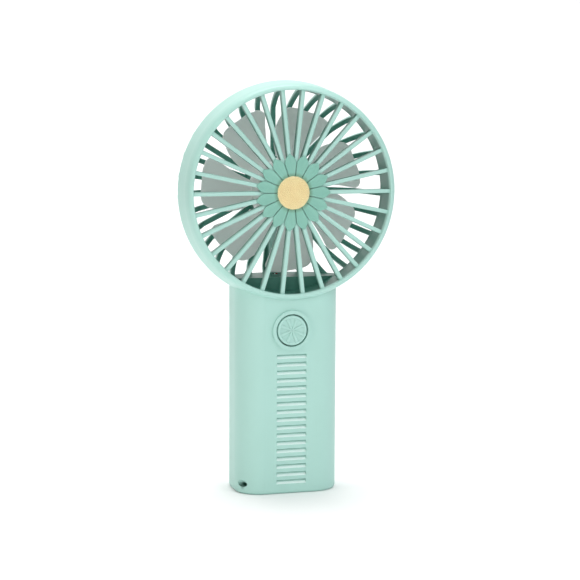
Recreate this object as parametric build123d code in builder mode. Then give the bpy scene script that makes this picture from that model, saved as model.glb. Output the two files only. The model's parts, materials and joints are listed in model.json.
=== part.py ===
"""Handheld electric fan: a round caged head on a flat upright handle.

Frame: +Z up the handle, the fan blows towards -Y, +X to the right seen from the front.
Origin: the centre of the flat base of the handle. All sizes in millimetres.
"""
import os
from math import cos, radians, sin, sqrt, tan

from build123d import *

os.makedirs("parts", exist_ok=True)

# ---------------------------------------------------------------- driving dimensions
head_z = 140.4            # height of the fan axis above the base
head_r = 49.8             # outer radius of the head where its rounded nose ends
head_back_r = 50.8        # outer radius where the slots start; the side flares by this much
mouth_r = 46.6            # radius of the open mouth inside the front rim
lip_y = -18.2             # front-most plane of the rim
nose_w, nose_depth = 2.6, 6.0    # half axes of the rim's rounded nose
face_y = -16.0            # front face of the handle and of the front shell
part_y = -5.6             # plane where the front and rear shells meet
slot_y = -3.4             # where the slots of the rear cage start
back_y = 19.0             # flat back of the rear cage
wall = 2.0                # wall of both shells

handle_width = 48.8
handle_thick = 32.0
handle_corner = 12.0
base_round = 1.6          # soft edge round the base
inner_round = 1.2         # the same edge inside the shells
floor_t = 2.2             # thickness of the base
chin_z = 100.1            # top of the closed part between handle and cage
shoulder_z = chin_z - 0.7 # top of the handle's rounded shoulders behind the cage

rib_count = 30            # front grille
rib_w = 1.85
rib_front = lip_y + 1.2
rib_back = rib_front + 3.6
grille_hub_r = 14.0
skirt_r = 47.95
skirt_end = part_y - 0.2

petal_count = 15
petal_r = 17.7
petal_front = lip_y + 0.3
petal_back = rib_front - 0.05
flower_centre_r = 7.6

bar_divisions = 31        # rear cage, one bar at the top
bar_w = 2.3
cage_t = 2.4
cage_hub_r = 15.0
arc_r0, arc_y0, arc_rad = 19.85, -5.65, 30.83    # centre and radius of the cage's outer arc

button_z = 76.9
button_r = 6.95
button_hole_r = 7.55
button_ring_r = 9.3
button_travel = 0.4

ridge_count = 17          # grip ridges below the button
ridge_pitch = 3.686
ridge_top_z = 64.9
ridge_half_w = 7.1
ridge_depth = 1.1

blade_count = 7
blade_tip_r = 38.8
blade_mid_y = 0.7
blade_phase = 17.4        # degrees from straight up, clockwise seen from the front
hub_r = 14.5
hub_front = -8.3          # front of the impeller's hub
shaft_r = 1.0

can_r = 12.2              # motor can
can_front, can_back = 1.8, 13.0
cap_back = 14.1           # back of the motor's end cap

cell_r, cell_len = 9.2, 65.0
cell_y, cell_z = 4.3, 13.4

board_front, board_t = -8.5, 1.2
board_bottom, board_top, board_half_w = 49.4, 87.4, 11.0
board_screw_z, board_screw_x = 53.4, 7.5

boss_x, boss_zs = 17.0, (14.0, 85.4)
screw_seat_y = 4.0

socket_w, socket_h, socket_len = 8.94, 3.26, 7.3    # charging socket shell
socket_z = 0.3
charge_board_y, charge_board_t = 1.65, 1.0

wire_r = 0.55
channel_y = 15.2          # depth of the wires inside the rear spoke

nose_end = lip_y + nose_depth

head_plane = Plane.XY.offset(head_z)
head_axis = Axis((0, 0, head_z), (0, 1, 0))
button_plane = Plane.XY.offset(button_z)
button_axis = Axis((0, 0, button_z), (0, 1, 0))


# ---------------------------------------------------------------- shared helpers
def front_plane(y):
    """The plane at depth y whose local x is +X and local y is +Z; it faces the front."""
    return Plane.XZ.offset(-y)


def disc(radius, y_front, y_back, x=0.0, z=head_z):
    """A round bar along Y."""
    with BuildPart() as bar:
        with BuildSketch(front_plane(y_back)):
            with Locations((x, z)):
                Circle(radius)
        extrude(amount=y_back - y_front)
    return bar.part


def block(x0, x1, y0, y1, z0, z1):
    """A rectangular block between two corners."""
    with BuildPart() as box:
        with BuildSketch(Plane.XY.offset(z0)):
            with Locations(((x0 + x1) / 2, (y0 + y1) / 2)):
                Rectangle(x1 - x0, y1 - y0)
        extrude(amount=z1 - z0)
    return box.part


def turned(points, plane=head_plane, axis=head_axis):
    """A solid of revolution from (radius, depth) corners."""
    with BuildPart() as part:
        with BuildSketch(plane):
            with BuildLine():
                Polyline(*points, close=True)
            make_face()
        revolve(axis=axis)
    return part.part


def around_head(part, angle):
    """A copy turned about the fan axis."""
    return part.rotate(head_axis, angle)


def nose_radius(y):
    """Outer radius of the rim's rounded nose at depth y."""
    return head_r - nose_w + nose_w * sqrt(1 - ((nose_end - y) / nose_depth) ** 2)


def cage_radius(y, inset=0.0):
    """Radius of the rear cage's curved side at depth y."""
    return arc_r0 + sqrt((arc_rad - inset) ** 2 - (y - arc_y0) ** 2)


def handle_solid(top):
    """The handle as a full block with its soft base edge."""
    with BuildPart() as solid:
        with BuildSketch(Plane.XY):
            RectangleRounded(handle_width, handle_thick, handle_corner)
        extrude(amount=top)
        fillet(solid.faces().sort_by(Axis.Z)[0].edges(), base_round)
    return solid.part


def handle_hollow(top):
    """The room inside the handle."""
    with BuildPart() as hollow:
        with BuildSketch(Plane.XY.offset(floor_t)):
            RectangleRounded(handle_width - 2 * wall, handle_thick - 2 * wall, handle_corner - wall)
        extrude(amount=top - floor_t)
        fillet(hollow.faces().sort_by(Axis.Z)[0].edges(), inner_round)
    return hollow.part


def wall_back(x):
    """Depth of the handle's outer back surface at a sideways place x."""
    corner_x = handle_width / 2 - handle_corner
    over = max(0.0, abs(x) - corner_x)
    return handle_thick / 2 - handle_corner + sqrt(handle_corner ** 2 - over ** 2)


def wire(points, radius=wire_r):
    """A round wire through hand-placed points, with every bend as wide as its runs allow."""
    corners = [Vector(*p) for p in points]
    radii = []
    for a, b, c in zip(corners, corners[1:], corners[2:]):
        turn = (b - a).get_angle(c - b)
        shorter = min((b - a).length, (c - b).length)
        radii.append(0.45 * shorter / tan(radians(turn) / 2))
    with BuildPart() as lead:
        with BuildLine() as path:
            FilletPolyline(*points, radius=radii)
        with BuildSketch(Plane(origin=path.line @ 0, z_dir=path.line % 0)):
            Circle(radius)
        sweep()
    return lead.part


def save(part, name):
    part.label = name
    export_step(part, f"parts/{name}.step")
    print(name, f"{part.volume:.1f} mm3")


# ---------------------------------------------------------------- front shell
def cord_duct(radius_x, radius_y):
    """The slanted hole for a wrist cord, from the lower left corner out through the base."""
    mouth = Vector(-22.2, -10.8, 5.0)
    outlet = Vector(-17.6, -7.6, 0.0)
    run = (outlet - mouth).normalized()
    across = Vector(0, 0, 1).cross(run)
    with BuildPart() as duct:
        start = mouth - run * 5
        with BuildSketch(Plane(origin=start, z_dir=run, x_dir=across)):
            Ellipse(radius_x, radius_y)
        extrude(amount=(outlet - start).length + 5)
    return duct.part


def head_side():
    """The solid behind the grille's rim: the back of the nose, then a flaring side."""
    mid_y = (face_y + nose_end) / 2
    with BuildPart() as side:
        with BuildSketch(head_plane):
            with BuildLine():
                Polyline((0, nose_end), (0, face_y), (nose_radius(face_y), face_y))
                ThreePointArc((nose_radius(face_y), face_y), (nose_radius(mid_y), mid_y), (head_r, nose_end))
                Line((head_r, nose_end), (0, nose_end))
            make_face()
        revolve(axis=head_axis)
        add(turned([(0, nose_end), (head_r, nose_end), (side_radius(part_y), part_y), (0, part_y)]))
    return side.part


def side_radius(y):
    """Outer radius of the head's flaring side at depth y."""
    return head_r + (head_back_r - head_r) * (y - nose_end) / (slot_y - nose_end)


def make_front_shell():
    hollow = handle_hollow(chin_z) - disc(head_r, face_y - 5, 5)
    cord_block = cord_duct(4.2, 2.7) & handle_solid(20)
    with BuildPart() as shell:
        add(handle_solid(chin_z))
        add(head_side())
        split(bisect_by=front_plane(part_y), keep=Keep.TOP)
        add(disc(skirt_r + 0.05, face_y - 1, part_y + 1), mode=Mode.SUBTRACT)
        add(hollow, mode=Mode.SUBTRACT)
        add(cord_block)
        split(bisect_by=front_plane(part_y), keep=Keep.TOP)
        # raised ring and guide collar of the power button
        with BuildSketch(button_plane):
            with BuildLine():
                Polyline((button_hole_r, face_y - 1.0), (button_ring_r, face_y - 1.0),
                         (button_ring_r, face_y + 0.5), (button_hole_r, face_y + 0.5), close=True)
            ring_face = make_face()
            fillet(ring_face.vertices().sort_by_distance((button_hole_r, face_y - 1.0, button_z))[0], 0.35)
            fillet(ring_face.vertices().sort_by_distance((button_ring_r, face_y - 1.0, button_z))[0], 0.95)
        revolve(axis=button_axis)
        add(disc(button_hole_r + 1.2, face_y + 1, -12.6, z=button_z))
        add(disc(button_hole_r, face_y - 2, -12, z=button_z), mode=Mode.SUBTRACT)
        # grip ridges: steep under-cut above, long slope below
        with BuildSketch(Plane.YZ):
            for i in range(ridge_count):
                z = ridge_top_z - i * ridge_pitch
                with BuildLine():
                    Polyline((face_y - 0.1, z + 0.85), (face_y + ridge_depth, z + 0.2),
                             (face_y + ridge_depth, z - 0.15), (face_y - 0.1, z - 1.2), close=True)
                make_face()
        extrude(amount=ridge_half_w, both=True, mode=Mode.SUBTRACT)
        # screw bosses
        for side in (-1, 1):
            for z in boss_zs:
                add(disc(2.8, 0.5 - wall_back(boss_x + 2.8), part_y - 0.1, x=side * boss_x, z=z))
                add(disc(1.05, screw_seat_y - 13, part_y + 1, x=side * boss_x, z=z), mode=Mode.SUBTRACT)
            add(disc(2.2, face_y + 1, board_front, x=side * board_screw_x, z=board_screw_z))
            add(disc(0.85, -12.5, board_front + 1, x=side * board_screw_x, z=board_screw_z),
                mode=Mode.SUBTRACT)
        add(cord_duct(2.7, 1.2), mode=Mode.SUBTRACT)
    return shell.part


# ---------------------------------------------------------------- rear shell with its cage
def make_bar():
    """One straight bar of the rear cage, along +X."""
    y0 = slot_y - 0.3
    y_mid, r_back = (slot_y + back_y) / 2, cage_radius(back_y)
    inner_back = back_y - cage_t
    with BuildPart() as bar:
        with BuildSketch(head_plane):
            with BuildLine():
                Polyline((cage_hub_r - 1.5, inner_back), (cage_hub_r - 1.5, back_y), (r_back, back_y))
                ThreePointArc((r_back, back_y), (cage_radius(y_mid), y_mid), (cage_radius(y0), y0))
                Line((cage_radius(y0), y0), (cage_radius(y0, cage_t), y0))
                ThreePointArc((cage_radius(y0, cage_t), y0), (cage_radius(y_mid, cage_t), y_mid),
                              (cage_radius(inner_back, cage_t), inner_back))
                Line((cage_radius(inner_back, cage_t), inner_back), (cage_hub_r - 1.5, inner_back))
            bar_face = make_face()
            corner = bar_face.vertices().sort_by_distance((r_back, back_y, head_z))[0]
            fillet(corner, 5.0)
        extrude(amount=bar_w / 2, both=True)
        sides = bar.faces().sort_by(Axis.Z)
        rim_edges = sides[0].edges() + sides[-1].edges()
        long_edges = [e for e in rim_edges if e.center().X > cage_hub_r and e.center().Y > y0 + 0.5]
        fillet(long_edges, 0.45)
    return bar.part


def bowl_section(y0):
    """Half section of the filled bowl that the cage wraps round."""
    y_mid, r_back = (slot_y + back_y) / 2, cage_radius(back_y)
    with BuildSketch(head_plane) as section:
        with BuildLine():
            Polyline((0, y0), (side_radius(y0), y0), (head_back_r, slot_y), (cage_radius(slot_y), slot_y))
            ThreePointArc((cage_radius(slot_y), slot_y), (cage_radius(y_mid), y_mid), (r_back, back_y))
            Polyline((r_back, back_y), (0, back_y), (0, y0))
        make_face()
    return section.sketch


def make_rear_shell():
    hollow = handle_hollow(chin_z - wall) - disc(mouth_r + wall, face_y - 5, slot_y + wall)
    low = block(-60, 60, -30, 30, 0, chin_z)
    high = block(-60, 60, -30, 30, chin_z - 0.4, 200)
    with BuildPart() as bowl:
        add(bowl_section(part_y))
        revolve(axis=head_axis)
    chin = bowl.part & low
    bar = make_bar()
    bars = [around_head(bar, i * 360 / bar_divisions - 90) & high for i in range(bar_divisions)]
    with BuildPart() as shell:
        with BuildSketch(Plane.XY):
            RectangleRounded(handle_width, handle_thick, handle_corner)
        extrude(amount=shoulder_z)
        ends = shell.faces().sort_by(Axis.Z)
        fillet(ends[0].edges(), base_round)
        fillet(ends[-1].edges(), 3.0)
        split(bisect_by=front_plane(part_y), keep=Keep.BOTTOM)
        add(chin)
        add(disc(mouth_r, face_y - 5, slot_y), mode=Mode.SUBTRACT)
        add(hollow, mode=Mode.SUBTRACT)
        # rim, bars, centre disc and wire spoke of the cage
        add(turned([(mouth_r, part_y), (side_radius(part_y), part_y), (head_back_r, slot_y), (mouth_r, slot_y)]))
        add(bars)
        add(turned([(0, back_y - cage_t), (cage_hub_r, back_y - cage_t), (cage_hub_r, back_y - 0.8),
                    (cage_hub_r - 0.8, back_y), (0, back_y)]))
        add(block(-3, 3, back_y - cage_t - 3.2, back_y, chin_z - 0.5, head_z - cage_hub_r + 1))
        # cup for the motor, with a ledge that leaves a wire room behind it
        add(turned([(can_r + 0.05, 9), (14, 9), (14, back_y - cage_t), (10.6, back_y - cage_t),
                    (10.6, cap_back + 0.05), (can_r + 0.05, cap_back + 0.05)]))
        add(block(-1.9, 1.9, 13.0, back_y - cage_t, chin_z, head_z - 9), mode=Mode.SUBTRACT)
        add(block(-3.6, 3.6, 14.0, back_y - cage_t, head_z - 13, head_z - 8), mode=Mode.SUBTRACT)
        add(block(-1.9, 1.9, 9.0, back_y - cage_t, chin_z - wall - 1, chin_z + 1), mode=Mode.SUBTRACT)
        # cradle ribs for the cell
        for z in (20, 44, 68):
            add(block(-14, 14, 6, 14.5, z, z + 1.6) - block(-cell_r - 0.15, cell_r + 0.15, 0, cell_y, z, z + 2)
                - cell_room())
        # holders for the charging board, and its opening in the base
        for side in (-1, 1):
            holder = block(7.0, 9.2, 0.4, 4.6, floor_t - 0.5, 11.0)
            slot = block(6.9, 8.1, charge_board_y - 0.05, charge_board_y + charge_board_t + 0.05, 2.5, 12)
            add((holder - slot) if side > 0 else (holder - slot).mirror(Plane.YZ))
        with BuildSketch(Plane.XY.offset(-1)):
            RectangleRounded(socket_w + 0.4, socket_h + 0.4, 1.7)
        extrude(amount=floor_t + 1.2, mode=Mode.SUBTRACT)
        # screw bosses with their counterbores
        for side in (-1, 1):
            for z in boss_zs:
                add(disc(3.3, part_y + 0.05, wall_back(boss_x + 3.3) - 0.5, x=side * boss_x, z=z))
                add(disc(1.3, part_y - 1, back_y + 1, x=side * boss_x, z=z), mode=Mode.SUBTRACT)
                add(disc(2.5, screw_seat_y, back_y + 1, x=side * boss_x, z=z), mode=Mode.SUBTRACT)
    return shell.part


def cell_room():
    """The round space that the cell lies in."""
    with BuildPart() as room:
        with BuildSketch(Plane.XY):
            with Locations((0, cell_y)):
                Circle(cell_r + 0.15)
        extrude(amount=90)
    return room.part


# ---------------------------------------------------------------- front grille and flower
def make_front_grille():
    with BuildPart() as rib:
        with BuildSketch(Plane.YZ.offset(grille_hub_r - 2)):
            with Locations(((rib_front + rib_back) / 2, head_z)):
                rib_face = Rectangle(rib_back - rib_front, rib_w)
                fillet(rib_face.vertices().group_by(Axis.Y)[0], 0.8)
        extrude(amount=mouth_r + 0.4 - grille_hub_r + 2)
    with BuildPart() as grille:
        with BuildSketch(head_plane):
            with BuildLine():
                nose_start, mid_y = head_r - nose_w, lip_y + 0.6
                Polyline((skirt_r, face_y), (skirt_r, skirt_end), (mouth_r, skirt_end), (mouth_r, lip_y + 0.5))
                ThreePointArc((mouth_r, lip_y + 0.5), (mouth_r + 0.2, lip_y + 0.12), (nose_start, lip_y))
                ThreePointArc((nose_start, lip_y), (nose_radius(mid_y), mid_y), (nose_radius(face_y), face_y))
                Line((nose_radius(face_y), face_y), (skirt_r, face_y))
            make_face()
        revolve(axis=head_axis)
        add(turned([(3.5, rib_front), (grille_hub_r, rib_front), (grille_hub_r, rib_back), (3.5, rib_back)]))
        add([around_head(rib.part, i * 360 / rib_count) for i in range(rib_count)])
    return grille.part


def make_flower_petals():
    pitch = 360 / petal_count
    shoulder_r, gap = 14.3, 0.15
    half = shoulder_r * tan(radians(pitch / 2)) - gap
    root_r = 7.8
    root_half = root_r * tan(radians(pitch / 2)) - gap
    with BuildPart() as petal:
        with BuildSketch(front_plane(petal_back)):
            with BuildLine():
                Polyline((root_r, head_z - root_half), (root_r, head_z + root_half),
                         (shoulder_r, head_z + half))
                ThreePointArc((shoulder_r, head_z + half), (16.5, head_z + 1.55), (petal_r, head_z))
                ThreePointArc((petal_r, head_z), (16.5, head_z - 1.55), (shoulder_r, head_z - half))
                Line((shoulder_r, head_z - half), (root_r, head_z - root_half))
            make_face()
        extrude(amount=petal_back - petal_front)
        front_edges = petal.faces().sort_by(Axis.Y)[0].edges()
        chamfer(front_edges, 0.3)
    with BuildPart() as flower:
        add(turned([(1.5, petal_front + 0.3), (8.6, petal_front + 0.3), (8.6, petal_back),
                    (3.45, petal_back), (3.45, rib_back - 0.6), (1.5, rib_back - 0.6)]))
        add([around_head(petal.part, i * pitch) for i in range(petal_count)])
    return flower.part


def make_flower_centre():
    top = lip_y - 1.0
    base = petal_front + 0.3
    with BuildPart() as centre:
        with BuildSketch(head_plane):
            with BuildLine():
                Line((0, rib_back), (0, top))
                ThreePointArc((0, top), (flower_centre_r * 0.62, top + 0.45), (flower_centre_r, base - 0.3))
                Polyline((flower_centre_r, base - 0.3), (flower_centre_r, base), (1.45, base),
                         (1.45, rib_back), (0, rib_back))
            make_face()
        revolve(axis=head_axis)
    return centre.part


# ---------------------------------------------------------------- impeller
def make_impeller():
    # three stations along a blade: radius, chord, pitch angle from the plane of rotation, camber
    stations = ((13.2, 13.5, 40, 1.2), (26, 29, 31, 2.4), (39.4, 34.5, 25, 2.7))
    blade_t = 1.3
    with BuildPart() as vane:
        for r, chord, pitch, camber in stations:
            plane = Plane(origin=(r, blade_mid_y, head_z), x_dir=(0, 0, 1), z_dir=(1, 0, 0))
            with BuildSketch(plane.rotated((0, 0, pitch))):
                with BuildLine():
                    ThreePointArc((-chord / 2, 0), (0, -camber), (chord / 2, 0))
                    Line((chord / 2, 0), (chord / 2, -blade_t))
                    ThreePointArc((chord / 2, -blade_t), (0, -camber - blade_t), (-chord / 2, -blade_t))
                    Line((-chord / 2, -blade_t), (-chord / 2, 0))
                make_face()
        loft()
    with BuildPart() as outline:
        with BuildSketch(front_plane(30)):
            with BuildLine():
                # swept forward: the tip leads the root in the direction of rotation
                Line((12.5, head_z - 2.5), (12.0, head_z + 5.2))
                ThreePointArc((12.0, head_z + 5.2), (22.6, head_z + 11.2), (32.5, head_z + 10.6))
                ThreePointArc((32.5, head_z + 10.6), (36.4, head_z + 9.0), (38.1, head_z + 5.4))
                ThreePointArc((38.1, head_z + 5.4), (blade_tip_r, head_z - 1.5), (37.4, head_z - 9.4))
                ThreePointArc((37.4, head_z - 9.4), (35.9, head_z - 12.2), (33.2, head_z - 12.6))
                ThreePointArc((33.2, head_z - 12.6), (23.4, head_z - 6.9), (12.5, head_z - 2.5))
            make_face()
        extrude(amount=60)
    blade = vane.part & outline.part
    inside_y, bend_y = hub_front + 1.4, hub_front + 3.8
    boss_end, hub_back = hub_front + 5.4, 8.0
    with BuildPart() as wheel:
        with BuildSketch(head_plane):
            with BuildLine():
                Polyline((shaft_r, inside_y), (0, inside_y), (0, hub_front), (10.5, hub_front))
                ThreePointArc((10.5, hub_front), (13.3, hub_front + 1.2), (hub_r, hub_front + 4.0))
                Polyline((hub_r, hub_front + 4.0), (hub_r, hub_back), (hub_r - 1.4, hub_back),
                         (hub_r - 1.4, bend_y), (10.2, inside_y), (3.0, inside_y), (3.0, boss_end),
                         (shaft_r, boss_end), (shaft_r, inside_y))
            make_face()
        revolve(axis=head_axis)
        first = blade_phase - 90
        add([around_head(blade, first + i * 360 / blade_count) for i in range(blade_count)])
        add(turned([(0, inside_y), (hub_r - 1.4, inside_y), (hub_r - 1.4, 9), (0, 9)]) -
            turned([(hub_r - 1.4, bend_y), (hub_r - 1.4, inside_y), (10.2, inside_y)]) -
            turned([(shaft_r, inside_y), (3.0, inside_y), (3.0, boss_end), (shaft_r, boss_end)]),
            mode=Mode.SUBTRACT)
    return wheel.part


# ---------------------------------------------------------------- motor
def make_motor_can():
    return turned([(2.4, 0.8), (3.1, 0.8), (3.1, can_front), (can_r, can_front), (can_r, can_back),
                   (can_r - 0.9, can_back), (can_r - 0.9, can_front + 0.9), (2.4, can_front + 0.9)])


def make_motor_end_cap():
    with BuildPart() as cap:
        add(turned([(2.4, can_back - 1.2), (can_r - 0.95, can_back - 1.2), (can_r - 0.95, can_back),
                    (can_r, can_back), (can_r, cap_back), (2.4, cap_back)]))
        for side in (-1, 1):
            add(block(side * 3.25 - 0.3, side * 3.25 + 0.3, 11, 15, head_z - 7.3, head_z - 4.7),
                mode=Mode.SUBTRACT)
    return cap.part


def make_motor_bushes():
    front = turned([(shaft_r + 0.03, 0.9), (2.4, 0.9), (2.4, 3.3), (shaft_r + 0.03, 3.3)])
    rear = turned([(shaft_r + 0.03, 11.9), (2.4, 11.9), (2.4, 13.9), (shaft_r + 0.03, 13.9)])
    return Compound([front, rear])


def make_motor_magnets():
    ring = turned([(9.1, 4.3), (11.25, 4.3), (11.25, 10.2), (9.1, 10.2)])
    gap = block(-3, 3, 0, 20, head_z - 20, head_z + 20)
    return ring - gap


def make_armature_core():
    with BuildPart() as pole:
        with BuildSketch(front_plane(9.6)):
            with Locations((4.7, head_z)):
                Rectangle(5.0, 2.6)
        extrude(amount=4.8)
    shoe = turned([(6.8, 4.8), (8.6, 4.8), (8.6, 9.6), (6.8, 9.6)]) & block(5, 9, 4, 10, head_z - 6.4, head_z + 6.4)
    with BuildPart() as core:
        add(disc(2.7, 4.8, 9.6))
        add([around_head(piece, i * 120) for piece in (pole.part, shoe) for i in range(3)])
        add(disc(shaft_r, 0, 12), mode=Mode.SUBTRACT)
    return core.part


def make_armature_windings():
    coil = (block(3.6, 5.8, 4.0, 10.0, head_z - 3.2, head_z + 3.2)
            - block(3, 7, 4.8, 9.6, head_z - 1.3, head_z + 1.3))
    return Compound([around_head(coil, i * 120) for i in range(3)])


def make_commutator():
    ring = turned([(1.9, 10.2), (2.9, 10.2), (2.9, 11.5), (1.9, 11.5)])
    for i in range(3):
        ring -= around_head(block(1, 4, 10, 12, head_z - 0.15, head_z + 0.15), 60 + i * 120)
    return ring


def make_commutator_core():
    return turned([(shaft_r, 10.1), (1.9, 10.1), (1.9, 11.6), (shaft_r, 11.6)])


def make_motor_brushes():
    leaf = block(2.97, 3.17, 10.4, 11.4, head_z - 7.0, head_z + 2.0)
    return Compound([leaf, leaf.mirror(Plane.YZ)])


def make_motor_terminals():
    tab = block(3.17, 3.5, 10.4, 15.8, head_z - 7.2, head_z - 4.8)
    return Compound([tab, tab.mirror(Plane.YZ)])


def make_shaft_washers():
    return Compound([turned([(shaft_r, y), (2.2, y), (2.2, y + 0.4), (shaft_r, y + 0.4)]) for y in (3.9, 4.35)])


# ---------------------------------------------------------------- button and electronics
def make_button_cap():
    cap_front = face_y - 0.7
    with BuildPart() as cap:
        with BuildSketch(button_plane):
            with BuildLine():
                Line((0, -11.1), (0, cap_front - 0.25))
                ThreePointArc((0, cap_front - 0.25), (3.4, cap_front - 0.2), (button_r, cap_front + 0.1))
                Polyline((button_r, cap_front + 0.1), (button_r, -12.5), (9.0, -12.5), (9.0, -11.6),
                         (1.8, -11.6), (1.8, -11.1), (0, -11.1))
            outline = make_face()
            fillet(outline.vertices().sort_by_distance((button_r, cap_front + 0.1, button_z))[0], 0.5)
        revolve(axis=button_axis)
        # a ring of eight shallow wedges
        with BuildSketch(front_plane(cap_front + 0.55).move(Location((0, 0, button_z)))):
            with PolarLocations(0, 8, start_angle=22.5):
                wedge = Polygon((1.9, -0.3), (5.6, -1.55), (5.6, 1.55), (1.9, 0.3), align=None)
        extrude(amount=3, mode=Mode.SUBTRACT)
    return cap.part


def make_main_board():
    with BuildPart() as board:
        add(block(-board_half_w, board_half_w, board_front, board_front + board_t, board_bottom, board_top))
        fillet(board.edges().filter_by(Axis.Y), 1.0)
        for side in (-1, 1):
            add(disc(1.1, board_front - 1, board_front + 3, x=side * board_screw_x, z=board_screw_z),
                mode=Mode.SUBTRACT)
    return board.part


def make_board_parts():
    """Charge controller, motor driver, coil and small parts on the back of the main board."""
    y = board_front + board_t
    z = board_bottom + 12
    pieces = [block(-7, -2, y, y + 1.4, z, z + 4), block(2, 6.2, y, y + 1.8, z - 0.5, z + 3.7),
              block(-6, -3, y, y + 1.1, z + 8, z + 11), block(3, 5, y, y + 0.9, z + 8, z + 9.2),
              block(3, 5, y, y + 0.9, z + 11, z + 12.2), block(-1, 1, y, y + 0.8, z + 6, z + 7)]
    return Compound(pieces)


def make_power_switch():
    with BuildPart() as body:
        add(block(-3.1, 3.1, -10.4, board_front, button_z - 3.1, button_z + 3.1))
        fillet(body.edges().filter_by(Axis.Y), 0.4)
        add(disc(1.75, -11, board_front - 0.4, z=button_z), mode=Mode.SUBTRACT)
    return body.part


def make_screw(y_seat, length, x, z, shank=1.0, head=2.2, head_t=1.5):
    """Pan-head screw driven from the back towards -Y."""
    with BuildPart() as screw:
        with BuildSketch(Plane.XY.offset(z)):
            with BuildLine():
                Polyline((x, y_seat - length), (x + shank * 0.3, y_seat - length), (x + shank, y_seat - length + 1.6),
                         (x + shank, y_seat), (x + head, y_seat), (x + head, y_seat + head_t * 0.5),
                         (x + head * 0.6, y_seat + head_t), (x, y_seat + head_t), close=True)
            make_face()
        revolve(axis=Axis((x, 0, z), (0, 1, 0)))
        for w, h in ((head * 1.1, 0.5), (0.5, head * 1.1)):
            add(block(x - w / 2, x + w / 2, y_seat + head_t * 0.45, y_seat + head_t + 1, z - h / 2, z + h / 2),
                mode=Mode.SUBTRACT)
    return screw.part


def make_charge_board():
    return block(-7.9, 7.9, charge_board_y, charge_board_y + charge_board_t, 2.6, 10.8)


def make_charging_socket():
    with BuildPart() as socket:
        with BuildSketch(Plane.XY.offset(socket_z)):
            RectangleRounded(socket_w, socket_h, 1.5)
            RectangleRounded(socket_w - 0.6, socket_h - 0.6, 1.25, mode=Mode.SUBTRACT)
        extrude(amount=socket_len)
        with BuildSketch(Plane.XY.offset(socket_z + socket_len - 0.6)):
            RectangleRounded(socket_w - 0.4, socket_h - 0.4, 1.3)
        extrude(amount=0.6)
    return socket.part


def make_socket_tongue():
    return block(-3.35, 3.35, -0.35, 0.35, socket_z + 0.9, socket_z + socket_len - 0.6)


def make_cell():
    r, z0, z1 = cell_r, cell_z, cell_z + cell_len
    with BuildPart() as cell:
        with BuildSketch(Plane.XZ.offset(-cell_y)):
            with BuildLine():
                Polyline((0, z0), (r, z0), (r, z1 - 3.0), (r - 0.7, z1 - 2.4), (r, z1 - 1.8), (r, z1),
                         (r - 1.2, z1), (r - 1.2, z1 - 0.5), (0, z1 - 0.5), close=True)
            outline = make_face()
            fillet(outline.vertices().sort_by_distance((r, cell_y, z0))[0], 0.6)
        revolve(axis=Axis((0, cell_y, 0), (0, 0, 1)))
    return cell.part


def upright_disc(r, x, y, z0, z1):
    """A round piece standing along Z."""
    with BuildPart() as part:
        with BuildSketch(Plane.XY.offset(z0)):
            with Locations((x, y)):
                Circle(r)
        extrude(amount=z1 - z0)
    return part.part


def make_cell_tabs():
    top = cell_z + cell_len + 0.4
    strip = block(-2.5, 2.5, -2, 8, top, top + 0.2)
    return Compound([strip, block(-2.5, 2.5, -3, 8, cell_z - 0.2, cell_z)])


def make_foam_block():
    pad = block(-6, 6, face_y + wall, cell_y, 22, 44)
    room = upright_disc(cell_r, 0, cell_y, 0, 90)
    return pad - room


def make_wire_cover():
    with BuildPart() as cover:
        add(block(-3, 3, 12.5, back_y - cage_t - 3.22, chin_z + 0.1, head_z - 14.6))
        fillet(cover.edges().filter_by(Axis.Z), 0.3)
    return cover.part


def make_motor_lead(side):
    far_x = 6.0 * side
    return wire([(3.33 * side, channel_y, head_z - 7.2), (3.2 * side, channel_y, head_z - 9.0),
                 (0.8 * side, channel_y, head_z - 14), (0.8 * side, channel_y, chin_z + 1),
                 (1.2 * side, 9.5, chin_z - 5), (far_x, 0, board_top - 3.6),
                 (far_x, board_front + board_t, board_top - 3.6)])


def make_cell_lead(side):
    y_end = board_front + board_t
    top = cell_z + cell_len + 0.6
    if side > 0:
        return wire([(0, -1.2, top + wire_r), (2, -4, top + 1.6), (2, y_end, top + 1.6)])
    return wire([(0, -2.4, cell_z - 0.3 - wire_r), (-8, -5.5, cell_z - 0.8), (-12.9, -5.2, cell_z + 7),
                 (-12.9, -5.2, board_bottom + 4), (-8.5, -5.0, board_bottom + 14),
                 (-8.5, y_end, board_bottom + 14)])


def make_charge_lead(side):
    y_end = board_front + board_t
    z_end = board_bottom + (26 if side > 0 else 8)
    return wire([(4 * side, charge_board_y - wire_r, 9.0), (8.5 * side, -3.0, 9.6), (11.6 * side, -4.0, 17),
                 (11.6 * side, -4.0, z_end - 9), (9.5 * side, -4.8, z_end), (9.5 * side, y_end, z_end)])


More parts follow.
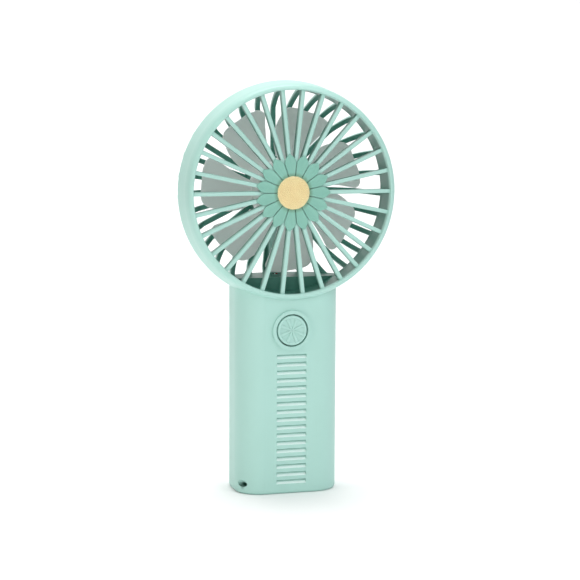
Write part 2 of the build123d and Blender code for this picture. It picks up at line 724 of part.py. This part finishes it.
# ---------------------------------------------------------------- build and write every piece
pieces = {
    "front_shell": make_front_shell(),
    "rear_shell": make_rear_shell(),
    "front_grille": make_front_grille(),
    "flower_petals": make_flower_petals(),
    "flower_centre": make_flower_centre(),
    "impeller": make_impeller(),
    "motor_can": make_motor_can(),
    "motor_end_cap": make_motor_end_cap(),
    "motor_bushes": make_motor_bushes(),
    "motor_magnets": make_motor_magnets(),
    "motor_brushes": make_motor_brushes(),
    "motor_terminals": make_motor_terminals(),
    "motor_shaft": disc(shaft_r, hub_front + 1.4, 13.9),
    "armature_core": make_armature_core(),
    "armature_windings": make_armature_windings(),
    "commutator": make_commutator(),
    "commutator_core": make_commutator_core(),
    "shaft_washers": make_shaft_washers(),
    "button_cap": make_button_cap(),
    "switch_plunger": disc(1.7, -11.1, board_front - 0.9, z=button_z),
    "power_switch": make_power_switch(),
    "main_board": make_main_board(),
    "board_parts": make_board_parts(),
    "charge_board": make_charge_board(),
    "charging_socket": make_charging_socket(),
    "socket_tongue": make_socket_tongue(),
    "battery_cell": make_cell(),
    "battery_pin": upright_disc(3.0, 0, cell_y, cell_z + cell_len - 0.5, cell_z + cell_len + 0.4),
    "battery_tabs": make_cell_tabs(),
    "foam_block": make_foam_block(),
    "wire_cover": make_wire_cover(),
    "motor_lead_red": make_motor_lead(1),
    "motor_lead_black": make_motor_lead(-1),
    "battery_lead_red": make_cell_lead(1),
    "battery_lead_black": make_cell_lead(-1),
    "charge_lead_red": make_charge_lead(1),
    "charge_lead_black": make_charge_lead(-1),
    "housing_screws": Compound([make_screw(screw_seat_y, 12, s * boss_x, z) for s in (-1, 1) for z in boss_zs]),
    "board_screws": Compound([make_screw(board_front + board_t, 5, s * board_screw_x, board_screw_z,
                                         shank=0.8, head=1.7, head_t=1.1) for s in (-1, 1)]),
}
for name, piece in pieces.items():
    save(piece, name)
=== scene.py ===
# %% [markdown]
# # A handheld fan with a daisy on its grille
# The frame comes first: every part of the fan that moves, fits or carries load is already a
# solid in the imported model, in metres, standing on the floor with its front towards -Y. This
# lesson gives those solids their finishes, and makes again the three pieces whose looks need
# more than a plain solid: the flower's petals, its grainy centre and the face of the button.

# %% Load the frame
import json
from math import cos, pi, radians, sin, sqrt

import bmesh
import bpy
from mathutils import Matrix, Quaternion, Vector


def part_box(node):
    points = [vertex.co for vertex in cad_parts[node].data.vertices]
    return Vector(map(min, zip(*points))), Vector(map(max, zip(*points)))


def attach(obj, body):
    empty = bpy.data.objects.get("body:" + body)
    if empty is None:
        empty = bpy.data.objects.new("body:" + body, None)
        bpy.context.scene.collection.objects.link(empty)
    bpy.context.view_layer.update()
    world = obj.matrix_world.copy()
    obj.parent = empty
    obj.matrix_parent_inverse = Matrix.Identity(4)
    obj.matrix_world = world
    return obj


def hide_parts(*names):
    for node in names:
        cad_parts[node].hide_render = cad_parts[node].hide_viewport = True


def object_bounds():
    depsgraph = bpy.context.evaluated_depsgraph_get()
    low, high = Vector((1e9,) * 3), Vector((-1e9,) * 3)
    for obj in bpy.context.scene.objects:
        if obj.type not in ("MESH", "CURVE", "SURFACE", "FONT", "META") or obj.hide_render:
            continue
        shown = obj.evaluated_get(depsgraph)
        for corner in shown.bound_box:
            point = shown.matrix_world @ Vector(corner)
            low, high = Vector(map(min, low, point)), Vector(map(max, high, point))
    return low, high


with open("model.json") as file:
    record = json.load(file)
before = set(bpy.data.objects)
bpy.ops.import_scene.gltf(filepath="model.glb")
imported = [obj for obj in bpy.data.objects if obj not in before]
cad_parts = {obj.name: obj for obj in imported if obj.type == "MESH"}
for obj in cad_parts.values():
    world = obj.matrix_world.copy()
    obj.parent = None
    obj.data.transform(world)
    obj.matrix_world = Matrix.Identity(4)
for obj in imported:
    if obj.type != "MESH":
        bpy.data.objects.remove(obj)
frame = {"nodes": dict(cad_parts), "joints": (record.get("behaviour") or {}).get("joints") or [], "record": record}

cad_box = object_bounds()
nodes = frame["nodes"]
spin_joint = next(j for j in frame["joints"] if j["name"] == "rotor_spin")
hub = Vector(spin_joint["pos_m"])
mm = 0.001
print("CAD box in mm:", [[round(x / mm, 1) for x in corner] for corner in cad_box])

# %% [markdown]
# ## The camera
# A product picture of a small thing is taken from well back with a long lens, so that the
# handle stays straight. The camera stands a little to the left of the fan's front and a little
# above it, rolled by a quarter of a degree. It is aimed at the foot of the head, so it needs no
# lens shift.

# %% Set up the camera
view_azimuth, view_elevation, view_roll = radians(-16.2), radians(7.505), radians(0.25)
view_distance, lens_mm = 811.7 * mm, 110.1
aim_left, aim_behind_front, aim_below_top = 1.67 * mm, 1.0 * mm, 95.2 * mm
aim = Vector((-aim_left, cad_box[0].y + aim_behind_front, cad_box[1].z - aim_below_top))

camera = bpy.data.objects.new("camera", bpy.data.cameras.new("camera"))
bpy.context.scene.collection.objects.link(camera)
bpy.context.scene.camera = camera
camera.data.lens = lens_mm
camera.data.clip_start, camera.data.clip_end = 0.01, 20
away = Vector((sin(view_azimuth) * cos(view_elevation),
               -cos(view_azimuth) * cos(view_elevation), sin(view_elevation)))
camera.location = aim + away * view_distance
camera.rotation_mode = "QUATERNION"
level = (-away).to_track_quat("-Z", "Y")
camera.rotation_quaternion = level @ Quaternion((0, 0, 1), view_roll)
print("camera at", [round(x, 3) for x in camera.location])

# %% [markdown]
# ## Shader maths as Python
# A finish is a graph of nodes, and a graph is easier to read as a formula. This class wraps one
# output socket. Arithmetic on it adds Math nodes, and its one method, node, adds any other kind
# of node: first the settings, then the values or links of its sockets.


# %% A socket that does arithmetic
class Signal:
    """One output of a shader node. Arithmetic on it adds Math nodes to the same tree."""

    def __init__(self, tree, socket=None):
        self.tree, self.socket = tree, socket

    def node(self, kind, settings=None, inputs=None, output=0):
        made = self.tree.nodes.new(kind)
        for key, value in (settings or {}).items():
            if key == "stops":
                ramp = made.color_ramp.elements
                while len(ramp) < len(value):
                    ramp.new(1.0)
                for stop, (place, colour) in zip(ramp, value):
                    stop.position, stop.color = place, (*colour, 1)
            else:
                setattr(made, key, value)
        for key, value in (inputs or {}).items():
            if isinstance(value, Signal):
                self.tree.links.new(value.socket, made.inputs[key])
            elif value is not None:
                made.inputs[key].default_value = value
        return Signal(self.tree, made.outputs[output] if made.outputs else None)

    def math(self, operation, first, second=None):
        return self.node("ShaderNodeMath", {"operation": operation}, {0: first, 1: second})

    def __add__(self, other):
        return self.math("ADD", self, other)

    def __sub__(self, other):
        return self.math("SUBTRACT", self, other)

    def __mul__(self, other):
        return self.math("MULTIPLY", self, other)

    __radd__, __rmul__ = __add__, __mul__

    def __rsub__(self, other):
        return self.math("SUBTRACT", other, self)


def rgb(red, green, blue):
    """A colour given as it looks on a screen, 0 to 255, as the shader's linear numbers."""
    shares = [c / 255 for c in (red, green, blue)]
    linear = [((c + 0.055) / 1.055) ** 2.4 if c > 10 / 255 else c / 12.92 for c in shares]
    return (*linear, 1.0)


def blend_colours(start, factor, first, second):
    """One colour mixed into another by a signal from 0 to 1."""
    sockets = {0: factor, 6: first, 7: second}
    return start.node("ShaderNodeMix", {"data_type": "RGBA"}, sockets, output=2)


def noise(start, place, scale, detail):
    """A cloudy pattern of values round a half, over the place it is given."""
    sockets = {"Vector": place, "Scale": scale, "Detail": detail}
    return start.node("ShaderNodeTexNoise", None, sockets)


def blank_finish(name):
    """A material with no nodes yet, and a signal that adds nodes to it."""
    material = bpy.data.materials.new(name)
    material.use_nodes = True
    material.node_tree.nodes.clear()
    return material, Signal(material.node_tree)


# %% [markdown]
# ## Moulded plastic
# The shells are one mint-green plastic. New moulded plastic is not one flat colour: the pigment
# drifts very slightly from one place to the next, and the fine grain of the mould breaks up the
# highlights. So the colour mixes two close tints by a soft cloud, the roughness wanders a
# little, and a fine noise makes the grain through a Bump node.


# %% Plastic finishes
grain_depth = 0.1 * mm
relief_strength, relief_depth = 0.55, 0.3 * mm


def plastic(name, light, dark, roughness, grain=0.05, grain_scale=2600, cloud_scale=45,
            painted_light_layers=(), relief=None, glow=0.0):
    """A moulded plastic with two close tints, a wandering roughness and a fine grain.

    A painted light layer is a function that makes a signal from 0 to 1 over the piece, and the
    tint of painted shade or painted highlight that the plastic takes where the signal is 1. A relief
    is a second, larger pattern for the surface, and glow is the share of light that comes through."""
    material, start = blank_finish(name)
    place = start.node("ShaderNodeTexCoord", output=3)
    cloud = noise(start, place, cloud_scale, 3.0)
    speckle = noise(start, place, grain_scale, 3.0)
    colour = blend_colours(start, cloud * 0.8 + speckle * 0.2, dark, light)
    # Each layer paints shade or a highlight into the colour.
    for where, tint in painted_light_layers:
        colour = blend_colours(start, where(start, place), colour, tint)
    bump = start.node("ShaderNodeBump", None,
                      {"Strength": grain, "Distance": grain_depth, "Height": speckle})
    if relief:
        pattern = relief(start, place)
        colour = blend_colours(start, pattern * 0.5, colour, dark)
        bump = start.node("ShaderNodeBump", None,
                          {"Strength": relief_strength, "Distance": relief_depth,
                           "Height": pattern, "Normal": bump})
    shader = start.node("ShaderNodeBsdfPrincipled", None, {
        "Base Color": colour, "Roughness": cloud * 0.1 + (roughness - 0.05), "Normal": bump})
    if glow:
        through = start.node("ShaderNodeBsdfTranslucent", None, {"Color": light, "Normal": bump})
        shader = start.node("ShaderNodeMixShader", None, {0: glow, 1: shader, 2: through})
    start.node("ShaderNodeOutputMaterial", None, {"Surface": shader})
    return material


def fade(start, value, low, high):
    """A soft step: 0 below low, 1 above high."""
    return start.node("ShaderNodeMapRange", {"interpolation_type": "SMOOTHSTEP"},
                      {"Value": value, "From Min": low, "From Max": high})


def coordinates(start, vector):
    """The x, y and z of a vector, as three signals."""
    return [start.node("ShaderNodeSeparateXYZ", None, {0: vector}, output=k) for k in range(3)]


def head_place(start, place):
    """Radius from the fan's axis and depth along it, in mm."""
    x, y, z = coordinates(start, place)
    up = z - hub.z
    return start.math("SQRT", x * x + up * up) * (1 / mm), y * (1 / mm)


cage_arc = (19.85, -5.65, 30.83)    # radius and depth of the arc's centre, its own radius, in mm
skin, deep = 0.7, 2.1               # mm under the skin where the painted shade starts, and is full
chin_top = 100.1                    # height of the chin's flat top, in mm


def painted_shade_inside_cage(start, place):
    """Painted shade mask: nearly 1 well under the cage's outer skin or on the chin's flat top, 0 on the skin."""
    radius, depth = head_place(start, place)
    out, back = radius - cage_arc[0], depth - cage_arc[1]
    from_arc = cage_arc[2] - start.math("SQRT", out * out + back * back)
    from_back = cad_box[1].y / mm - depth
    under_skin = fade(start, start.math("MINIMUM", from_arc, from_back), skin, deep)
    _, _, height = coordinates(start, place)
    above_chin = fade(start, height, (chin_top - 0.4) * mm, (chin_top - 0.2) * mm)
    below_rest = 1 - fade(start, height, (chin_top + 0.2) * mm, (chin_top + 0.5) * mm)
    in_head = 1 - fade(start, radius, 50.0, 50.3)
    return start.math("MAXIMUM", under_skin, above_chin * below_rest * in_head) * 0.94


def painted_shade_behind_ribs(start, place):
    """Painted shade mask: how far a point of the grille lies behind the ribs' fronts, inside the mouth."""
    radius, depth = head_place(start, place)
    return fade(start, depth, -17.0, -14.4) * (1 - fade(start, radius, 46.9, 47.3)) * 0.9


def steepness(start):
    """The upward part of the surface's direction: 1 on top, 0 on a wall, -1 underneath."""
    direction = start.node("ShaderNodeNewGeometry", output=3)
    return coordinates(start, direction)[2]


cord_hole_middle = (-20.4 * mm, -9.6 * mm, 3.2 * mm)


def painted_cord_hole_shade(start, place):
    """Painted shade mask: 1 deep inside the slanted hole for the wrist cord, 0 at its lip."""
    distance = start.node("ShaderNodeVectorMath", {"operation": "DISTANCE"},
                          {0: place, 1: cord_hole_middle}, output=1)
    return 1 - fade(start, distance, 1.7 * mm, 2.7 * mm)


def in_grip(start, place):
    """1 in the band of grip ridges on the handle's front, 0 elsewhere."""
    x, y, z = coordinates(start, place)
    under_top = 1 - fade(start, z, 66.4 * mm, 66.9 * mm)
    above_foot = fade(start, z, 3.6 * mm, 4.0 * mm)
    between_sides = 1 - fade(start, start.math("ABSOLUTE", x), 7.3 * mm, 7.6 * mm)
    at_front = 1 - fade(start, y, -14.6 * mm, -14.4 * mm)
    return under_top * above_foot * between_sides * at_front


def painted_ridge_highlight(start, place):
    """Mask for a painted highlight on the upward slope of each ridge."""
    return fade(start, steepness(start), 0.1, 0.4) * in_grip(start, place)


def painted_ridge_shade(start, place):
    """Mask for painted shade on the downward face above each groove."""
    return fade(start, 0 - steepness(start), 0.3, 0.6) * in_grip(start, place)


def painted_shade_round_the_centre(start, place):
    """Painted shade: a soft dark ring in the groove between the petals and the flower's centre."""
    radius, _ = head_place(start, place)
    return (1 - fade(start, radius, 7.9, 9.6)) * 0.75


def petal_veins(start, place):
    """Fine lines that run out from the flower's centre."""
    x, _, z = coordinates(start, place)
    radius, _ = head_place(start, place)
    turns = start.math("DIVIDE", 16.0 / mm, radius)
    ray = start.node("ShaderNodeCombineXYZ", None,
                     {0: x * turns, 1: (z - hub.z) * turns, 2: radius * 0.06})
    return noise(start, ray, 1.0, 3.0)


# %% The fan's plastics
# The third mint colour is painted shade, for surfaces inside the cage and behind the grille's ribs.
mint_light, mint_dark, mint_painted_shade = rgb(175, 216, 208), rgb(167, 209, 199), rgb(52, 122, 106)
# The mint shell's layers are a painted highlight on each grip ridge's slope, painted shade under each groove's
# top, and painted shade in the cord hole.
mint = plastic("mint_shell_painted_light_plastic", mint_light, mint_dark, 0.42,
               painted_light_layers=[(painted_ridge_highlight, rgb(232, 253, 250)), (painted_ridge_shade, rgb(112, 158, 148)),
                       # Painted shade deep in the cord hole.
                       (painted_cord_hole_shade, rgb(30, 84, 70))])
# Mint plastic with painted shade on the cage's inner surfaces and on the chin's flat top.
mint_cage_painted_shade = plastic("mint_cage_painted_shade_plastic", mint_light, mint_dark, 0.42,
                    painted_light_layers=[(painted_shade_inside_cage, mint_painted_shade)])
# Mint plastic with painted shade behind the grille's ribs.
mint_grille_painted_shade = plastic("mint_grille_painted_shade_plastic", mint_light, mint_dark, 0.36,
                      painted_light_layers=[(painted_shade_behind_ribs, mint_painted_shade)])
# The petals' layer is painted shade in the groove round the flower's centre.
petal_green = plastic("petal_plastic", rgb(142, 196, 182), rgb(122, 178, 162), 0.40,
                      painted_light_layers=[(painted_shade_round_the_centre, rgb(96, 128, 92))], relief=petal_veins)
centre_cream = plastic("flower_centre_plastic", rgb(240, 224, 174), rgb(228, 204, 148), 0.5,
                       grain=0.2, cloud_scale=300)
blade_grey = plastic("blade_plastic", rgb(250, 253, 251), rgb(246, 250, 248), 0.32, glow=0.15)
black = plastic("black_plastic", rgb(38, 38, 40), rgb(30, 30, 32), 0.45)
board_green = plastic("board_resist", rgb(30, 120, 70), rgb(22, 105, 60), 0.3)
wrap_blue = plastic("cell_wrap", rgb(84, 140, 190), rgb(76, 130, 180), 0.28)
foam = plastic("foam", rgb(52, 52, 55), rgb(40, 40, 43), 0.9, grain=0.6, grain_scale=1400)
red_rubber = plastic("red_insulation", rgb(190, 40, 34), rgb(176, 34, 30), 0.4)
black_rubber = plastic("black_insulation", rgb(36, 36, 38), rgb(30, 30, 32), 0.4)


# %% Metals, and a finish for every part
def metal(name, light, dark, roughness, scale=900):
    """A plated or drawn metal with fine uneven brightness."""
    material, start = blank_finish(name)
    place = start.node("ShaderNodeTexCoord", output=3)
    streaks = noise(start, place, scale, 4.0)
    shader = start.node("ShaderNodeBsdfPrincipled", None, {
        "Base Color": blend_colours(start, streaks, dark, light), "Metallic": 1.0,
        "Roughness": streaks * 0.2 + (roughness - 0.1)})
    start.node("ShaderNodeOutputMaterial", None, {"Surface": shader})
    return material


steel = metal("plated_steel", rgb(222, 222, 224), rgb(200, 200, 203), 0.3)
core_steel = metal("core_steel", rgb(120, 120, 124), rgb(92, 92, 96), 0.5)
bronze = metal("copper_alloy", rgb(222, 170, 110), rgb(200, 146, 88), 0.35)
copper = metal("copper_winding", rgb(200, 110, 70), rgb(160, 76, 44), 0.35, scale=2500)
nickel = metal("nickel_plate", rgb(226, 224, 216), rgb(208, 205, 196), 0.22)
ferrite = metal("ferrite", rgb(90, 90, 94), rgb(70, 70, 74), 0.6)

slot_finishes = {
    "shell": mint, "petals": petal_green, "flower_centre": centre_cream, "blades": blade_grey,
    "steel": steel, "core_steel": core_steel, "bronze": bronze, "copper_wire": copper,
    "magnet": ferrite, "black_plastic": black, "circuit_board": board_green,
    "cell_wrap": wrap_blue, "nickel": nickel,
    "foam": foam, "red_wire": red_rubber, "black_wire": black_rubber}
for subpart in frame["record"]["subparts"]:
    part = nodes[subpart["node"]]
    part.data.materials.clear()
    part.data.materials.append(slot_finishes[subpart["material_slot"]])
# The rear shell takes the mint plastic with painted shade inside the cage.
nodes["rear_shell"].data.materials[0] = mint_cage_painted_shade
# The grille takes the mint plastic with painted shade behind its ribs.
nodes["front_grille"].data.materials[0] = mint_grille_painted_shade
print(len(nodes), "frame parts finished")


# %% [markdown]
# ## Working with bmesh
# Every new piece starts as an empty bmesh, is shaped by operators, and becomes an object at the
# origin with its place in its mesh. The fan's round pieces turn about the axis of the impeller,
# so it helps to have one function for a full turn and one for copies round that axis.


# %% Helpers for new pieces
front = Vector((0, -1, 0))


def add_piece(name, bm, material):
    """Turns a bmesh into a smooth-shaded object at the origin."""
    bmesh.ops.remove_doubles(bm, verts=bm.verts, dist=0.002 * mm)
    bmesh.ops.recalc_face_normals(bm, faces=bm.faces)
    mesh = bpy.data.meshes.new(name)
    bm.to_mesh(mesh)
    bm.free()
    for face in mesh.polygons:
        face.use_smooth = True
    mesh.materials.append(material)
    piece = bpy.data.objects.new(name, mesh)
    bpy.context.scene.collection.objects.link(piece)
    return piece


def turn_profile(bm, points, centre=hub, steps=72):
    """Spins a line of (radius, depth) points, in mm, once round a front-to-back axis."""
    verts = [bm.verts.new((radius * mm, depth * mm, centre.z)) for radius, depth in points]
    edges = [bm.edges.new(pair) for pair in zip(verts, verts[1:])]
    bmesh.ops.spin(bm, geom=verts + edges, cent=centre, axis=front, angle=2 * pi, steps=steps,
                   use_merge=True)


def repeat_round(bm, centre, count):
    """Copies everything in a bmesh so that there are count of it round a front-to-back axis."""
    bmesh.ops.spin(bm, geom=bm.verts[:] + bm.edges[:] + bm.faces[:], cent=centre, axis=front,
                   angle=2 * pi * (count - 1) / count, steps=count - 1, use_duplicate=True)


def depth_range(verts):
    """The nearest and furthest depth of some vertices, in mm."""
    return [round(edge(v.co.y for v in verts) / mm, 2) for edge in (min, max)]


# %% [markdown]
# ## The daisy's petals
# The real flower is one moulding: fifteen thin petals round a flat disc, each a shallow boat
# with a raised edge and a pointed tip. A plain extruded outline looks like a biscuit, so each
# petal starts as a small grid that is drawn in to the outline and dished. One petal is given its
# thickness, and the spin tool repeats it round the axis.

# %% Petals
petal_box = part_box("flower_petals")
petal_count, root_r, widest_r = 15, 7.0, 13.7
tip_r = (petal_box[1].z - petal_box[0].z) / 2 / mm + 0.1
petal_gap, petal_t = 0.34, 0.4
petal_edge, edge_arch, tip_drop, petal_dish = -17.78, 0.14, 0.33, 0.36
disc_r, disc_front, disc_back = 8.8, -17.3, -17.06      # the disc that joins the petals
pin_r, bore_r, pin_end = 3.45, 1.5, -14.0               # the hollow pin on the disc's back
half_pitch = pi / petal_count


def petal_half_width(radius):
    """Half the petal's width, in mm: as wide as its share of the circle, then in to the tip."""
    if radius < widest_r:
        return radius * sin(half_pitch) - petal_gap / 2
    along = (radius - widest_r) / (tip_r - widest_r)
    return (widest_r * sin(half_pitch) - petal_gap / 2) * max(0.0, 1 - along ** 1.7) ** 0.8


bm = bmesh.new()
grid = bmesh.ops.create_grid(bm, x_segments=18, y_segments=12, size=1.0)["verts"]
for vert in grid:
    along, across = (vert.co.x + 1) / 2, vert.co.y
    radius = root_r + (tip_r - root_r) * along ** 0.9
    edge_depth = petal_edge - edge_arch * sin(pi * along) + tip_drop * along ** 3
    dish = petal_dish * (1 - across ** 2) * sin(pi * along) ** 0.7
    vert.co = Vector((radius, edge_depth + dish, petal_half_width(radius) * across)) * mm
    vert.co.z += hub.z
print("depths of one petal in mm:", depth_range(grid))
bmesh.ops.remove_doubles(bm, verts=bm.verts, dist=0.03 * mm)
bmesh.ops.recalc_face_normals(bm, faces=bm.faces)
bmesh.ops.solidify(bm, geom=bm.faces, thickness=-petal_t * mm)
print("with its thickness:", depth_range(bm.verts))
repeat_round(bm, hub, petal_count)
turn_profile(bm, [(bore_r, disc_front), (disc_r, disc_front), (disc_r, disc_back), (pin_r, disc_back),
                  (pin_r, pin_end), (bore_r, pin_end), (bore_r, disc_front)])
petals = add_piece("daisy_petals", bm, petal_green)
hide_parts("flower_petals")
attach(petals, "housing")

# %% [markdown]
# ## The daisy's centre
# The cream centre is a low dome covered with small grains, packed as seeds are in a real
# flower: each grain is set 137.5 degrees on from the last, which leaves no rows or gaps. There
# are hundreds of grains, so each is a ball of a few dozen faces, sunk into the dome.

# %% Centre dome and its grains
centre_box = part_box("flower_centre")
centre_r = (centre_box[1].x - centre_box[0].x) / 2 / mm
centre_front = centre_box[0].y / mm
dome_front, dome_drop = centre_front + 0.22, 1.25
grain_count, grain_r, grain_sunk, grain_margin = 250, 0.50, 0.24, 0.75
golden_angle = radians(137.508)
ring_count = 16
peg_r, peg_end = 1.45, -13.5


def dome_depth(radius):
    """Depth of the dome's surface at a radius, in mm."""
    return dome_front + dome_drop * (radius / centre_r) ** 2.6


bm = bmesh.new()
rings = [centre_r * k / ring_count for k in range(ring_count + 1)]
turn_profile(bm, [(r, dome_depth(r)) for r in rings] +
             [(centre_r, disc_front), (peg_r, disc_front), (peg_r, peg_end), (0, peg_end)])
for i in range(grain_count):
    radius = (centre_r - grain_margin) * sqrt((i + 0.5) / grain_count)
    ball = bmesh.ops.create_uvsphere(bm, u_segments=8, v_segments=5, radius=grain_r * mm)["verts"]
    spot = Vector((radius * cos(i * golden_angle), dome_depth(radius) + grain_sunk,
                   radius * sin(i * golden_angle))) * mm
    bmesh.ops.translate(bm, verts=ball, vec=spot + Vector((0, 0, hub.z)))
centre = add_piece("daisy_centre", bm, centre_cream)
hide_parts("flower_centre")
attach(centre, "housing")
print("grains on the centre:", grain_count)

# %% [markdown]
# ## The power button
# The button is a small round cap in a collar. Its face is a shallow dish with a raised rim and
# eight raised spokes. The cap is one turned profile; the spokes are one tapered, bevelled bar,
# repeated round the button's own axis.

# %% Button cap
button_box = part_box("button_cap")
button_centre = (button_box[0] + button_box[1]) / 2
face = button_box[0].y / mm
cap_r, dish_r, dish_depth, spokes = 6.95, 5.75, 0.5, 8
spoke_root, spoke_tip, spoke_top = 0.1, 5.8, 0.12
flange_r, flange_front, flange_back = 9.0, -12.5, -11.6      # the flange that keeps the cap in
stem_r, stem_end = 1.8, -11.1                                # the stem that meets the switch

bm = bmesh.new()
bar = bmesh.ops.create_cube(bm, size=1.0)["verts"]
for vert in bar:
    outer, near = vert.co.x > 0, vert.co.y < 0
    vert.co = Vector((spoke_tip if outer else spoke_root,
                      face + (spoke_top if near else dish_depth + 0.1),
                      vert.co.z * (1.5 if outer else 0.5))) * mm
    vert.co.z += button_centre.z
near_edges = [e for e in bm.edges if all(v.co.y < (face + 0.2) * mm for v in e.verts)]
bmesh.ops.bevel(bm, geom=near_edges, offset=0.12 * mm, affect="EDGES", segments=2, profile=0.5,
                material=-1)
half_step = Matrix.Rotation(pi / spokes, 3, "Y")
bmesh.ops.rotate(bm, verts=bm.verts, cent=button_centre, matrix=half_step)
repeat_round(bm, button_centre, spokes)
profile = [(0, face + dish_depth), (dish_r - 0.25, face + dish_depth), (dish_r, face + 0.25),
           (dish_r + 0.2, face + 0.05), (dish_r + 0.5, face), (cap_r - 0.35, face + 0.06),
           (cap_r - 0.1, face + 0.2), (cap_r, face + 0.5), (cap_r, flange_front),
           (flange_r, flange_front), (flange_r, flange_back), (stem_r, flange_back),
           (stem_r, stem_end), (0, stem_end)]
turn_profile(bm, profile, button_centre, steps=96)
cap = add_piece("button_face", bm, mint)
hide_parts("button_cap")
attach(cap, "button")
print("button spokes:", spokes)

# %% [markdown]
# ## A plain pale stage
# The stage is one sheet that lies flat under the fan and curves up behind it, so the camera sees
# no line where floor meets wall. Four square area lights and a pale world light the fan.

# %% Floor, light and air
floor_front, floor_back, half_width, curve_r, wall_height = -1.5, 0.8, 2.5, 0.7, 2
bm = bmesh.new()
corners = [bm.verts.new((x, floor_front, 0)) for x in (-half_width, half_width)]
sweep = [bm.edges.new(corners)]


def pull(edges, offset):
    """Draws a strip out of some edges, and gives the far edges of the strip."""
    made = bmesh.ops.extrude_edge_only(bm, edges=edges)["geom"]
    moved = [v for v in made if isinstance(v, bmesh.types.BMVert)]
    bmesh.ops.translate(bm, vec=offset, verts=moved)
    return [e for e in made if isinstance(e, bmesh.types.BMEdge) and all(v in made for v in e.verts)]


sweep = pull(sweep, (0, floor_back - floor_front, 0))
sweep = bmesh.ops.spin(bm, geom=sweep, cent=(0, floor_back, curve_r), axis=(1, 0, 0), angle=pi / 2,
                       steps=24)["geom_last"]
pull([e for e in sweep if isinstance(e, bmesh.types.BMEdge)], (0, 0, wall_height))
paper = plastic("paper", rgb(252, 252, 252), rgb(250, 250, 250), 0.9, grain=0.0)
stage = add_piece("stage", bm, paper)


def softbox(name, place, target, size, power, tint=(1, 1, 1)):
    """A square area light that looks at a point."""
    light = bpy.data.lights.new(name, "AREA")
    light.size, light.energy, light.color = size, power, tint
    lamp = bpy.data.objects.new(name, light)
    lamp.location = place
    lamp.rotation_mode = "QUATERNION"
    lamp.rotation_quaternion = (Vector(target) - Vector(place)).to_track_quat("-Z", "Y")
    bpy.context.scene.collection.objects.link(lamp)


middle = (0, 0, 0.1)
softbox("key", (0.4, -0.7, 0.95), middle, 0.7, 5.2, (0.95, 0.99, 1.0))
softbox("front", aim + away * 0.7, middle, 0.3, 0.6)
softbox("fill", (-0.9, -0.6, 0.35), middle, 0.8, 2.1, (1.0, 0.97, 0.84))
softbox("backdrop_wash", (0, 0.3, 1.6), (0, 1.2, 0.3), 1.0, 24)

air = bpy.data.worlds.new("studio_air")
bpy.context.scene.world = air
air.use_nodes = True
background = air.node_tree.nodes["Background"]
background.inputs["Color"].default_value = (1, 1, 1, 1)
background.inputs["Strength"].default_value = 0.3
bpy.context.scene.view_settings.view_transform = "Standard"
